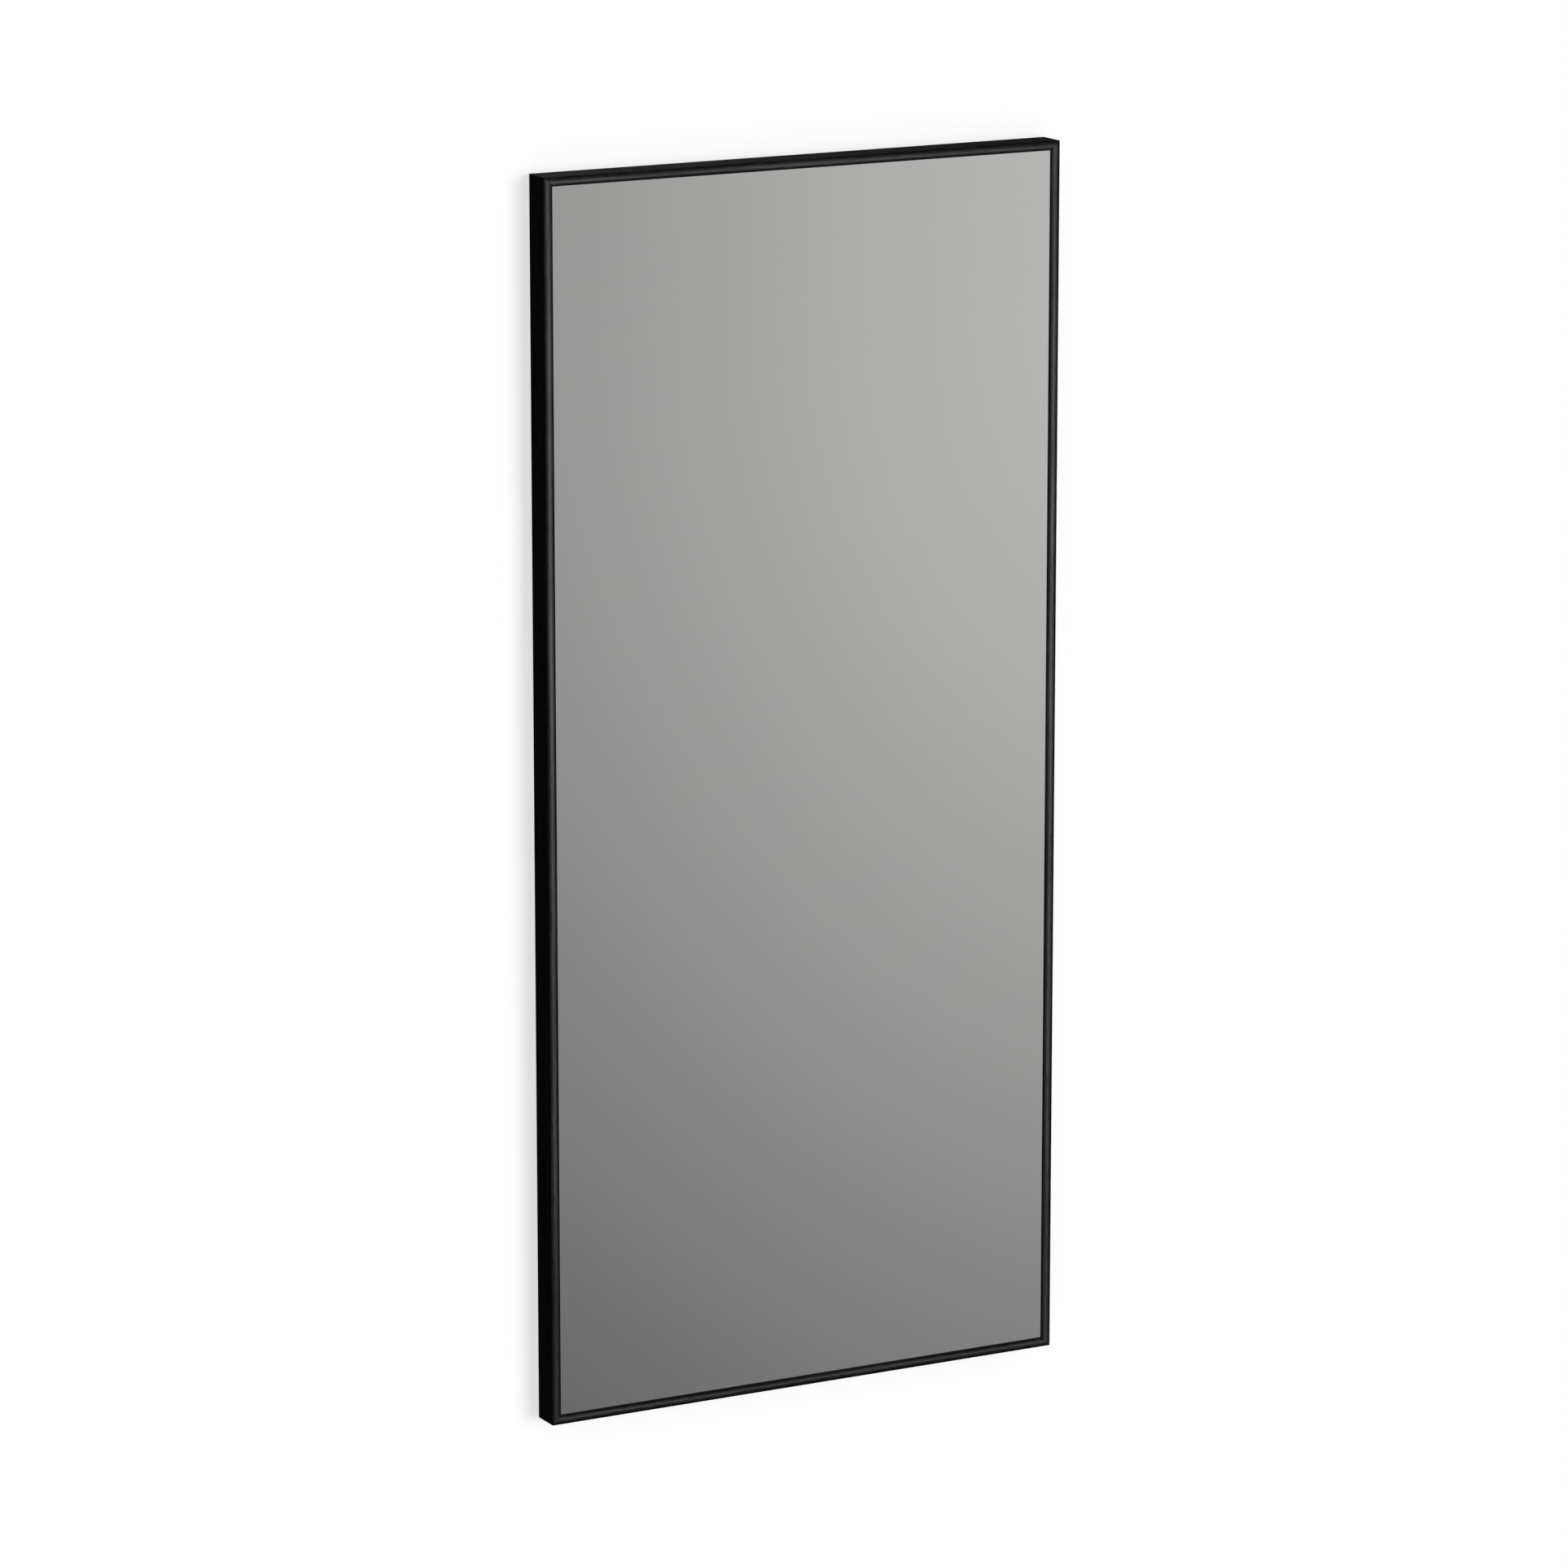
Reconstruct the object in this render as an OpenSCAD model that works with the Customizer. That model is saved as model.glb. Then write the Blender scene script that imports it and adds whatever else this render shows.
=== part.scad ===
/* [Overall size] */
// Outside width of the frame
frame_w = 550; // [400:10:900]
// Outside height of the frame
frame_h = 1200; // [800:10:1800]
// Gap between the frame's back edge and the wall, set by the bumpers
wall_gap = 1; // [0.5:0.5:5]

/* [Frame section] */
// Width of the rounded bead round the glass
bead_w = 9; // [8:0.5:14]
// Rise of the bead's crest over its two edges
bead_rise = 2; // [1:0.25:3]
// Thickness of the bead's edge behind the rounding
lip_t = 1; // [0.6:0.1:2]
// Thickness of the outer wall
wall_t = 1.4; // [1:0.1:2]
// Thickness of the webs that form the channel
web_t = 1.2; // [0.8:0.1:1.6]
// Distance from the frame's outer face to the channel's inner face
channel_w = 20; // [20:0.5:24]
// Clear depth inside the channel
channel_depth = 5.6; // [5:0.2:8]
// Width of the slot along the channel's back
slot_w = 6.2; // [5.4:0.2:7]
// Depth of the recess behind the channel, where the hangers lie
recess_depth = 7; // [6.6:0.2:12]
// Radius of the rounded outer edge at the frame's back
back_edge_r = 0.5; // [0.2:0.1:0.8]

/* [Glass and backing] */
// Thickness of the glass
glass_t = 4; // [3:1:6]
// Gap between the glass edge and the outer wall
glass_play = 1; // [0.5:0.1:2]
// Thickness of the silvering with its backing paint
silver_t = 0.15; // [0.1:0.05:0.3]
// Thickness of the safety film
film_t = 0.25; // [0.1:0.05:0.5]
// Thickness of the foam sheet
foam_t = 2; // [1:0.5:4]
// Thickness of the backing board
board_t = 3; // [2.5:0.5:5]
// Thickness of the glazing tape under the lip
tape_t = 0.5; // [0.3:0.1:1]
// Distance of the tape from the bead's inner edge
tape_setback = 0.5; // [0.2:0.1:1]
// Gap left where two strips of tape meet
tape_joint = 0.5; // [0.2:0.1:2]

/* [Spring clips] */
// Depth of the space that a bowed clip fills
clip_space = 4.1; // [3:0.1:6]
// Length of a clip between its two feet
clip_len = 56; // [40:1:70]
// Width of a clip
clip_w = 10; // [6:0.5:14]
// Thickness of a clip's strip
clip_t = 0.5; // [0.3:0.1:0.8]
// Depth by which the board flattens a clip's crown
clip_crush = 0.05; // [0.02:0.01:0.1]
// Clips along each stile
clips_per_stile = 4; // [2:1:6]
// Clips along each rail
clips_per_rail = 2; // [2:1:3]
// Distance from a corner to the middle of the nearest clip
clip_margin = 120; // [70:5:150]

/* [Corner joints] */
// Length of a corner key's leg from the outer corner
key_leg = 45; // [42:1:60]
// Thickness of a corner key
key_t = 2.2; // [1.8:0.1:2.6]
// Thickness of the shim under a corner key
shim_t = 1.2; // [0.8:0.1:1.6]
// Play between a plate and the channel on each side
plate_play = 0.3; // [0.1:0.1:0.6]
// Distance of the last set screw from the key's end
key_screw_end = 7; // [5:0.5:9]
// Distance between the two set screws in a leg
key_screw_pitch = 12; // [8:0.5:13]
// Diameter of the set screws
set_screw_d = 4; // [3:0.5:5]
// Depth of a set screw's end below the channel's back
set_screw_sink = 0.6; // [0.2:0.1:1]
// Radial play of the screws in their threads
thread_play = 0.05; // [0.02:0.01:0.1]
// Width of a screw driver slot
driver_slot_w = 0.8; // [0.6:0.1:1.2]

/* [Hangers] */
// Distance from the top edge to the eyes on the stiles
portrait_drop = 150; // [90:5:300]
// Distance from the left edge to the eyes on the rails
landscape_drop = 110; // [90:5:150]
// Width of a hanger strap
strap_w = 9; // [8.4:0.2:10]
// Thickness of a hanger strap
strap_t = 1.5; // [1.2:0.1:1.7]
// Strap left between the eye and the nearest screw head
strap_bridge = 0.5; // [0.3:0.1:2]
// Distance between the two screws of a strap
strap_pitch = 12; // [9:0.5:20]
// Angle left open between the rolled eye's end and the strap
eye_gap_angle = 62; // [60:1:90]
// Diameter of the ring's wire
wire_d = 2.4; // [2:0.1:2.6]
// Radial play of the ring in the eye
ring_play = 0.3; // [0.1:0.05:0.4]
// Play between the strap's edge and the ring's leg
ring_side_play = 0.9; // [0.7:0.1:1.2]
// Distance from the hinge axis to the middle of the ring's crown
ring_reach = 13; // [12:0.5:20]
// Diameter of the strap screws
strap_screw_d = 3.9; // [3.4:0.1:4.2]
// Diameter of their countersunk heads
strap_head_d = 7.2; // [6.6:0.1:7.6]
// Play of a head in its countersink
head_play = 0.05; // [0.02:0.01:0.1]
// Play of a strap screw in the strap's hole
hole_play = 0.15; // [0.1:0.05:0.3]
// Thickness of the nut plates
nut_t = 2.4; // [2:0.1:3]
// Nut plate beyond the middle of each hole
nut_end = 6; // [4:0.5:8]
// Length of a strap screw beyond its nut plate
screw_stub = 0.9; // [0.3:0.1:1.5]
// Depth of the cross recess in a screw head
recess_cut = 1.1; // [0.6:0.1:1.3]
// Length of the cross recess
recess_len = 4.2; // [3:0.1:5]

/* [Wall bumpers] */
// Diameter of a bumper
bumper_d = 14; // [10:0.5:16]
// Radius of its rounded rim
bumper_rim = 2; // [0.5:0.5:3]

/* [Hidden] */

$fn = 96;
arc_fn = 720;
cut = 1;

// The frame is built by quarter turns from the bottom rail and from the bottom left corner,
// and each corner has the place in its list that the side starting there has in the other
SIDES = ["bottom", "right", "top", "left"];
CORNERS = ["bottom_left", "bottom_right", "top_right", "top_left"];

// Depths from the bead's crest towards the wall, each built on the one in front of it
lip_back = bead_rise + lip_t;
glass_front = lip_back + tape_t;
silver_front = glass_front + glass_t;
film_front = silver_front + silver_t;
foam_front = film_front + film_t;
board_front = foam_front + foam_t;
board_back = board_front + board_t;
shelf_front = board_back + clip_space;
channel_front = shelf_front + web_t;
channel_back = channel_front + channel_depth;
ledge = channel_back + web_t;
frame_depth = ledge + recess_depth;

// The bead is an arc through both of its edges and its crest
bead_r = (bead_w * bead_w / 4 + bead_rise * bead_rise) / (2 * bead_rise);

// Distances from the frame's outer face towards the glass
sheet_edge = wall_t + glass_play;
slot_mid = (wall_t + channel_w - web_t) / 2;
plate_near = wall_t + plate_play;
plate_far = channel_w - web_t - plate_play;
clip_near = (wall_t + channel_w - clip_w) / 2;

// The clip is bent to a circle that is as high as the space and the crush together
clip_rise = clip_space + clip_crush;
clip_r = (clip_len * clip_len / 4 + clip_rise * clip_rise) / (2 * clip_rise);

// Hanger, measured along the member from the hinge axis and in depth from the crest
wire_r = wire_d / 2;
eye_bore_r = wire_r + ring_play;
eye_r = eye_bore_r + strap_t;
eye_depth = ledge + eye_r;
strap_back = ledge + strap_t;
hole_1 = eye_r + strap_bridge + strap_head_d / 2;
hole_2 = hole_1 + strap_pitch;
leg_off = strap_w / 2 + ring_side_play + wire_r;
bend_r = wire_r + ring_side_play - ring_play;
strap_screw_r = strap_screw_d / 2;
strap_head_r = strap_head_d / 2;
head_h = strap_head_r - strap_screw_r;
strap_screw_len = strap_t + web_t + nut_t + screw_stub;
set_screw_r = set_screw_d / 2;

ANODISED = "#1e1e1e";
ZINC = "#b9bcc0";
BRIGHT_WIRE = "#c8cacc";
SPRING_STEEL = "#8d9298";
RUBBER = "#161616";

function place_in(names, name) = search([name], names)[0];
function is_rail(side) = side == "bottom" || side == "top";
function along(side) = is_rail(side) ? frame_w : frame_h;
function across(side) = is_rail(side) ? frame_h : frame_w;
function clip_count(side) = is_rail(side) ? clips_per_rail : clips_per_stile;
function drop(side) = is_rail(side) ? landscape_drop : portrait_drop;
function clip_at(side, i) =
    let (span = along(side) - 2 * clip_margin)
    -span / 2 + i * span / (clip_count(side) - 1);

// In a side's own place X runs along the member, Y is the depth from the crest
// and Z the distance inwards from the outer face.
module on_side(side) {
    rotate([0, -90 * place_in(SIDES, side), 0])
        translate([0, -wall_gap - frame_depth, -across(side) / 2])
            children();
}

// In a corner's own place X and Z run from the outer corner along the two members.
module at_corner(corner) {
    side = SIDES[place_in(CORNERS, corner)];
    on_side(side)
        translate([-along(side) / 2, 0, 0])
            children();
}

// In a hanger's own place X runs from the hinge axis along the strap and Z is zero
// over the middle of the slot. The eyes of both pairs lie towards the end of the frame
// that is uppermost when that pair carries the mirror.
module at_hanger(side) {
    flip = side == "right" || side == "top" ? 1 : 0;
    on_side(side)
        mirror([flip, 0, 0])
            translate([drop(side) - along(side) / 2, 0, slot_mid])
                children();
}

// A disc or hole whose axis runs in depth, starting at the given depth
module in_depth(x, z, from) {
    translate([x, from, z])
        rotate([-90, 0, 0])
            children();
}

module section() {
    // rounded bead
    intersection() {
        translate([bead_w / 2, bead_r])
            circle(bead_r, $fn = arc_fn);
        square([bead_w, lip_back]);
    }
    // outer wall, with its back edge eased
    difference() {
        translate([0, bead_rise])
            square([wall_t, frame_depth - bead_rise]);
        difference() {
            translate([-cut, frame_depth - back_edge_r])
                square([cut + back_edge_r, back_edge_r + cut]);
            translate([back_edge_r, frame_depth - back_edge_r])
                circle(back_edge_r);
        }
    }
    // channel behind the clips, open along its back
    translate([0, shelf_front])
        square([channel_w, web_t]);
    translate([channel_w - web_t, shelf_front])
        square([web_t, ledge - shelf_front]);
    difference() {
        translate([0, channel_back])
            square([channel_w, web_t]);
        translate([slot_mid - slot_w / 2, channel_back - cut])
            square([slot_w, web_t + 2 * cut]);
    }
}

// Cuts both ends of what runs along a side at 45 degrees
module mitred(side) {
    half = along(side) / 2;
    inner = channel_w + cut;
    intersection() {
        children();
        translate([0, frame_depth + cut, 0])
            rotate([90, 0, 0])
                linear_extrude(frame_depth + 2 * cut)
                    polygon([[-half, 0], [half, 0], [half - inner, inner], [inner - half, inner]]);
    }
}

module member(side) {
    color(ANODISED)
    on_side(side)
        mitred(side)
            rotate([0, -90, 0])
                linear_extrude(along(side), center = true)
                    section();
}

// A sheet that fills the rebate, from one depth to the next
module sheet(front, thickness) {
    width = frame_w - 2 * sheet_edge;
    height = frame_h - 2 * sheet_edge;
    translate([-width / 2, front - wall_gap - frame_depth, -height / 2])
        cube([width, thickness, height]);
}

// Four strips with butt joints: the rails' run the whole width and the stiles' lie between them
module glazing_tape() {
    width = bead_w - tape_setback - sheet_edge;
    color(RUBBER)
    for (side = SIDES) {
        inset = sheet_edge + (is_rail(side) ? 0 : width + tape_joint);
        on_side(side)
            translate([inset - along(side) / 2, lip_back, sheet_edge])
                cube([along(side) - 2 * inset, tape_t, width]);
    }
}

module mirror_glass() {
    color("#a9b3b0")
        sheet(glass_front, glass_t);
}

module silver_coating() {
    color("#c9ccce")
        sheet(silver_front, silver_t);
}

module safety_film() {
    color("#dfe3e6")
        sheet(film_front, film_t);
}

module foam_sheet() {
    color("#f0f0ee")
        sheet(foam_front, foam_t);
}

module backing_board() {
    color("#6b4a33")
        sheet(board_front, board_t);
}

module spring_clips() {
    color(SPRING_STEEL)
    for (side = SIDES)
        for (i = [0 : clip_count(side) - 1])
            on_side(side)
                translate([clip_at(side, i), 0, clip_near])
                    spring_clip();
}

// A strip bowed to a circle, flattened where it bears on the board and on the channel
module spring_clip() {
    linear_extrude(clip_w)
        intersection() {
            translate([0, board_back - clip_crush + clip_r])
                difference() {
                    circle(clip_r, $fn = arc_fn);
                    circle(clip_r - clip_t, $fn = arc_fn);
                }
            translate([-clip_len / 2, board_back])
                square([clip_len, clip_space]);
        }
}

// An L that fills the channels of both members at a corner
module corner_plate(front, thickness) {
    translate([0, front + thickness, 0])
        rotate([90, 0, 0])
            linear_extrude(thickness)
                difference() {
                    translate([plate_near, plate_near])
                        square(key_leg - plate_near);
                    translate([plate_far, plate_far])
                        square(key_leg);
                }
}

// Both legs' screw places, as children on the two members' slots
module at_key_screws() {
    for (i = [0, 1]) {
        place = key_leg - key_screw_end - i * key_screw_pitch;
        in_depth(place, slot_mid, 0)
            children();
        in_depth(slot_mid, place, 0)
            children();
    }
}

module corner_key(corner) {
    color(ZINC)
    at_corner(corner)
        difference() {
            corner_plate(channel_back - key_t, key_t);
            at_key_screws()
                translate([0, 0, channel_front])
                    cylinder(h = channel_depth + cut, r = set_screw_r + thread_play);
        }
}

module corner_shim(corner) {
    color(ZINC)
    at_corner(corner)
        corner_plate(channel_front, shim_t);
}

module corner_screws() {
    color(SPRING_STEEL)
    for (corner = CORNERS)
        at_corner(corner)
            at_key_screws()
                set_screw();
}

module set_screw() {
    tip = channel_front + shim_t;
    end = ledge - set_screw_sink;
    difference() {
        translate([0, 0, tip])
            cylinder(h = end - tip, r = set_screw_r);
        translate([-set_screw_d, -driver_slot_w / 2, end - driver_slot_w])
            cube([2 * set_screw_d, driver_slot_w, driver_slot_w + cut]);
    }
}

// The strap seen from its edge: a flat that rolls up into the eye
module strap_profile() {
    square_len = hole_2 + strap_w / 2;
    open = eye_gap_angle;
    far = 2 * eye_r;
    translate([0, ledge])
        square([square_len, strap_t]);
    translate([0, eye_depth])
        difference() {
            circle(eye_r);
            circle(eye_bore_r);
            polygon([[0, 0], [0, -far], [far * sin(open), -far],
                [far * sin(open), -far * cos(open)]]);
        }
}

module hanger_strap(side) {
    color(ZINC)
    at_hanger(side)
        difference() {
            translate([0, 0, -strap_w / 2])
                linear_extrude(strap_w)
                    strap_profile();
            for (hole = [hole_1, hole_2])
                in_depth(hole, 0, ledge) {
                    translate([0, 0, -cut])
                        cylinder(h = strap_t + 2 * cut, r = strap_screw_r + hole_play);
                    countersink();
                }
            rounded_end_waste();
        }
}

// A 45 degree cone with the head's radius at the strap's back. It ends above it by less
// than the bridge, so it stays clear of the eye.
module countersink() {
    mouth = strap_head_r + head_play;
    over = strap_bridge / 2;
    translate([0, 0, strap_t - mouth])
        cylinder(h = mouth + over, r1 = 0, r2 = mouth + over);
}

// What the strap's round end leaves of its square end
module rounded_end_waste() {
    translate([hole_2, ledge + strap_t + cut, 0])
        rotate([90, 0, 0])
            linear_extrude(strap_t + 2 * cut)
                difference() {
                    translate([0, -strap_w])
                        square([strap_w, 2 * strap_w]);
                    circle(strap_w / 2);
                }
}

// A D of round wire with its straight bar in the eye, in a plane through the hinge axis
module hanger_ring(side) {
    straight = leg_off - bend_r;
    color(BRIGHT_WIRE)
    at_hanger(side)
        translate([0, eye_depth, 0])
            rotate([90, 0, 0]) {
                rotate([90, 0, 0])
                    cylinder(h = 2 * straight, r = wire_r, center = true);
                for (flip = [0, 1])
                    mirror([0, flip, 0]) {
                        translate([bend_r, straight, 0])
                            rotate([0, 0, 90])
                                rotate_extrude(angle = 90)
                                    translate([bend_r, 0])
                                        circle(wire_r);
                        translate([bend_r, leg_off, 0])
                            rotate([0, 90, 0])
                                cylinder(h = ring_reach - leg_off - bend_r, r = wire_r);
                    }
                translate([ring_reach - leg_off, 0, 0])
                    rotate([0, 0, -90])
                        rotate_extrude(angle = 180)
                            translate([leg_off, 0])
                                circle(wire_r);
            }
}

module nut_plate(side) {
    width = plate_far - plate_near;
    color(ZINC)
    at_hanger(side)
        difference() {
            translate([hole_1 - nut_end, channel_back - nut_t, -width / 2])
                cube([strap_pitch + 2 * nut_end, nut_t, width]);
            for (hole = [hole_1, hole_2])
                in_depth(hole, 0, channel_front)
                    cylinder(h = channel_depth + cut, r = strap_screw_r + thread_play);
        }
}

module hanger_screws() {
    color(BRIGHT_WIRE)
    for (side = SIDES)
        at_hanger(side)
            for (hole = [hole_1, hole_2])
                in_depth(hole, 0, strap_back)
                    strap_screw();
}

// A countersunk screw with its head's face at zero
module strap_screw() {
    difference() {
        union() {
            translate([0, 0, -strap_screw_len])
                cylinder(h = strap_screw_len, r = strap_screw_r);
            translate([0, 0, -head_h])
                cylinder(h = head_h, r1 = strap_screw_r, r2 = strap_head_r);
        }
        for (turn = [0, 90])
            rotate([0, 0, turn])
                translate([-recess_len / 2, -driver_slot_w / 2, -recess_cut])
                    cube([recess_len, driver_slot_w, recess_cut + cut]);
    }
}

module wall_bumpers() {
    color(RUBBER)
    for (corner = CORNERS)
        at_corner(corner)
            in_depth(slot_mid, slot_mid, ledge)
                wall_bumper();
}

// A rubber disc with a rounded rim, stuck on the ledge over the mitre
module wall_bumper() {
    height = recess_depth + wall_gap;
    flat = bumper_d / 2 - bumper_rim;
    rotate_extrude() {
        square([flat, height]);
        square([bumper_d / 2, height - bumper_rim]);
        translate([flat, height - bumper_rim])
            intersection() {
                circle(bumper_rim);
                square(bumper_rim);
            }
    }
}

member("left");  // stile_left
member("right");  // stile_right
member("top");  // rail_top
member("bottom");  // rail_bottom
mirror_glass();
silver_coating();
safety_film();
foam_sheet();
backing_board();
glazing_tape();
spring_clips();
corner_key("bottom_left");  // corner_key_bottom_left
corner_key("bottom_right");  // corner_key_bottom_right
corner_key("top_right");  // corner_key_top_right
corner_key("top_left");  // corner_key_top_left
corner_shim("bottom_left");  // corner_shim_bottom_left
corner_shim("bottom_right");  // corner_shim_bottom_right
corner_shim("top_right");  // corner_shim_top_right
corner_shim("top_left");  // corner_shim_top_left
corner_screws();
hanger_strap("bottom");  // hanger_strap_bottom
hanger_strap("right");  // hanger_strap_right
hanger_strap("top");  // hanger_strap_top
hanger_strap("left");  // hanger_strap_left
hanger_ring("bottom");  // hanger_ring_bottom
hanger_ring("right");  // hanger_ring_right
hanger_ring("top");  // hanger_ring_top
hanger_ring("left");  // hanger_ring_left
nut_plate("bottom");  // nut_plate_bottom
nut_plate("right");  // nut_plate_right
nut_plate("top");  // nut_plate_top
nut_plate("left");  // nut_plate_left
hanger_screws();
wall_bumpers();
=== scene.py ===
"""A tall wall mirror in a slim black anodised frame, dressed over its CAD frame."""

import math

import bmesh
import bpy
from bpy.props import FloatProperty, IntProperty, PointerProperty, StringProperty
from mathutils import Matrix, Vector


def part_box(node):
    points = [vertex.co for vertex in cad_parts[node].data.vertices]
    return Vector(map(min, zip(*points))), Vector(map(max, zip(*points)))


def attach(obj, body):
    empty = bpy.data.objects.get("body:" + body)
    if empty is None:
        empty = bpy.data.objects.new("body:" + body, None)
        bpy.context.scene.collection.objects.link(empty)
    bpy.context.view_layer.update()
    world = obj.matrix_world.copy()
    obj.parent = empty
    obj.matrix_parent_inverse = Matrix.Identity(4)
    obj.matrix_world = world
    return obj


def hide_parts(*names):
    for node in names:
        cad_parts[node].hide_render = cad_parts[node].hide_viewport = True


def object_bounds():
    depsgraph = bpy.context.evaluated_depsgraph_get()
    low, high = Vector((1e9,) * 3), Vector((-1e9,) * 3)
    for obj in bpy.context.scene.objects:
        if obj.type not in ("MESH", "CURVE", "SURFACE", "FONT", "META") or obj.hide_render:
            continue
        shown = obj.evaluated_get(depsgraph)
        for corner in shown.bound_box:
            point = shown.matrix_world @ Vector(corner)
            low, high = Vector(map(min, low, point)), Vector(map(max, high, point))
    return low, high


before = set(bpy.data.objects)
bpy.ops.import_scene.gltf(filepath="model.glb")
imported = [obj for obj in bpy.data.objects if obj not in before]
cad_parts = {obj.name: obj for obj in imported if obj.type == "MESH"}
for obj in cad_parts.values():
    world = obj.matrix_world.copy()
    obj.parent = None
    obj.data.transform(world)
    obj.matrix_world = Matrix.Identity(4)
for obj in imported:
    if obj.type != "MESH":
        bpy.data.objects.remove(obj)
CAD_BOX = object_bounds()

bl_info = {
    "name": "Slim framed wall mirror",
    "version": (1, 0, 0),
    "blender": (4, 5, 0),
    "location": "3D View > Sidebar > Mirror",
    "description": "Builds the frame, glass, backing and hangers of a wall mirror, and its studio",
    "category": "Object",
}

MM = 0.001
BODY = "mirror_body"
SIDES = ("bottom", "right", "top", "left")
RAILS = ("bottom", "top")
CORNERS = ("bottom_left", "bottom_right", "top_right", "top_left")
MEMBERS = {side: ("rail_" if side in RAILS else "stile_") + side for side in SIDES}
# Tips a shape that was made upright, about X
TOWARDS_WALL = -math.pi / 2

# What the packed model gives: the outside of the frame and the depths of its planes. Its
# facets end a hundredth of a millimetre short of the crest, so that depth is rounded.
LOW = Vector(CAD_BOX[0])
HIGH = Vector(CAD_BOX[1])
WIDTH = HIGH.x - LOW.x
HEIGHT = HIGH.z - LOW.z
CREST = round(LOW.y, 4)
FRAME_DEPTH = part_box("stile_left")[1].y - CREST
CHANNEL_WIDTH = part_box("stile_left")[1].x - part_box("stile_left")[0].x
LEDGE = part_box("wall_bumpers")[0].y - CREST
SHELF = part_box("spring_clips")[1].y - CREST
BOARD_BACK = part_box("backing_board")[1].y - CREST


# Sizes and colours that a user would change


def measure(unit):
    """A maker of properties in that unit."""
    return lambda name, description, default: FloatProperty(
        name=name, description=description, default=default, unit=unit)


metres, millimetres, radians, watts, plain = map(
    measure, ("LENGTH", "CAMERA", "ROTATION", "POWER", "NONE"))


def tone(name, description, default):
    """A colour as sRGB hex."""
    return StringProperty(name=name, description=description, default=default)


class MirrorSection(bpy.types.PropertyGroup):
    """The aluminium section, measured as on its drawing"""

    bead_width: metres("Bead width", "Width of the rounded front", 9 * MM)
    bead_rise: metres("Bead rise", "Height of the crest over the bead's edges", 2 * MM)
    lip: metres("Lip", "Thickness of the bead's edge", 1 * MM)
    wall: metres("Wall", "Thickness of the outer wall", 1.4 * MM)
    web: metres("Web", "Thickness of the channel's walls", 1.2 * MM)
    channel_width: metres(
        "Channel width", "From the outer face to the channel's inner face", CHANNEL_WIDTH)
    slot: metres("Slot", "Width of the slot along the channel", 6.2 * MM)
    shelf: metres("Shelf", "Depth from the crest to the channel's front", SHELF)
    ledge: metres("Ledge", "Depth from the crest to the channel's back", LEDGE)
    depth: metres("Depth", "Depth of the whole section", FRAME_DEPTH)
    outer_radius: metres("Outer radius", "Rounding of the two outer edges", 0.4 * MM)
    inner_radius: metres("Inner radius", "Rounding of the other edges", 0.2 * MM)
    mitre_ease: metres("Mitre ease", "Edge broken along each mitre", 0.12 * MM)
    bead_steps: IntProperty(
        name="Bead steps", description="Facets across the bead", default=40, min=8)


class MirrorHardware(bpy.types.PropertyGroup):
    """Screws, clips and bumpers"""

    head: metres("Screw head", "Diameter of a countersunk head", 7.2 * MM)
    shank: metres("Screw shank", "Diameter of a strap screw", 3.9 * MM)
    screw_length: metres("Screw length", "Length of a strap screw", 6 * MM)
    strap: metres("Strap", "Thickness of a hanger strap", 1.5 * MM)
    strap_pitch: metres("Strap pitch", "Distance between a strap's two screws", 12 * MM)
    cross: metres("Cross", "Length of the cross in a head", 4.2 * MM)
    cross_depth: metres("Cross depth", "Depth of the cross", 1.9 * MM)
    driver_slot: metres("Driver slot", "Width of a slot or cross", 0.8 * MM)
    set_screw: metres("Set screw", "Diameter of a set screw", 4 * MM)
    set_screw_ease: metres("Set screw ease", "Rounding of a set screw's end", 0.3 * MM)
    key_near: metres("Near set screw", "Corner to a leg's nearer set screw", 26 * MM)
    key_far: metres("Far set screw", "Corner to a leg's farther set screw", 38 * MM)
    clip_length: metres("Clip length", "Length of a bowed clip", 56 * MM)
    clip_width: metres("Clip width", "Width of a bowed clip", 10 * MM)
    clip_strip: metres("Clip strip", "Thickness of its strip", 0.5 * MM)
    clip_margin: metres("Clip margin", "Corner to the middle of the nearest clip", 120 * MM)
    stile_clips: IntProperty(
        name="Clips per stile", description="Clips along each stile", default=4, min=2)
    rail_clips: IntProperty(
        name="Clips per rail", description="Clips along each rail", default=2, min=2)
    bumper: metres("Bumper", "Diameter of a rubber bumper", 14 * MM)
    bumper_rim: metres("Bumper rim", "Rounding of its rim", 2 * MM)
    bumper_dish: metres("Bumper dish", "Depth of the dish in its face", 0.4 * MM)
    seed: IntProperty(
        name="Seed", description="Chooses how far each screw is turned", default=7)


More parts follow.
